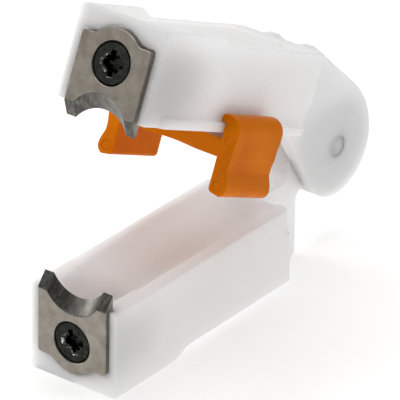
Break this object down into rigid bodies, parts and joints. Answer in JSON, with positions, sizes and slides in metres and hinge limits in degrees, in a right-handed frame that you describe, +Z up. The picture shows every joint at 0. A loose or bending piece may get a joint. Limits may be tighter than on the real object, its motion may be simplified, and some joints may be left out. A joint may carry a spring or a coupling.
{
  "type": "conduit pipe cutter",
  "caption": "Hinged hand cutter for plastic pipe: two white jaws with notched steel blades on their noses and an orange sliding length stop.",
  "frame": {"origin": "middle of the underside of the lower jaw's foot pad", "axes": "+Z up, +Y from the blades back to the hinge, +X across the jaws"},
  "size_m": [0.0362, 0.1032, 0.0842],
  "materials": {
    "jaw_plastic": "milky translucent, satin",
    "blade_steel": "ground, satin",
    "black_screw": "black oxide, oiled",
    "insert_brass": "turned",
    "pin_plastic": "satin",
    "orange_plastic": "satin, moulded"
  },
  "bodies": {
    "lower": {"lower_jaw": "jaw_plastic", "lower_blade": "blade_steel", "lower_blade_screw": "black_screw", "lower_thread_insert": "insert_brass"},
    "upper": {"upper_jaw": "jaw_plastic", "upper_blade": "blade_steel", "upper_blade_screw": "black_screw", "upper_thread_insert": "insert_brass", "hinge_pin": "pin_plastic"},
    "stop": {"length_stop": "orange_plastic"}
  },
  "joints": [
    {"name": "jaw_hinge", "type": "hinge", "parent": "lower", "child": "upper", "pos_m": [0, 0.0796, 0.0252], "axis": [-1, 0, 0], "range_deg": [-23.6, 50]},
    {"name": "stop_slide", "type": "slide", "parent": "upper", "child": "stop", "axis": [0, 0.9164, -0.4003], "range_m": [-0.021, 0.014]}
  ]
}
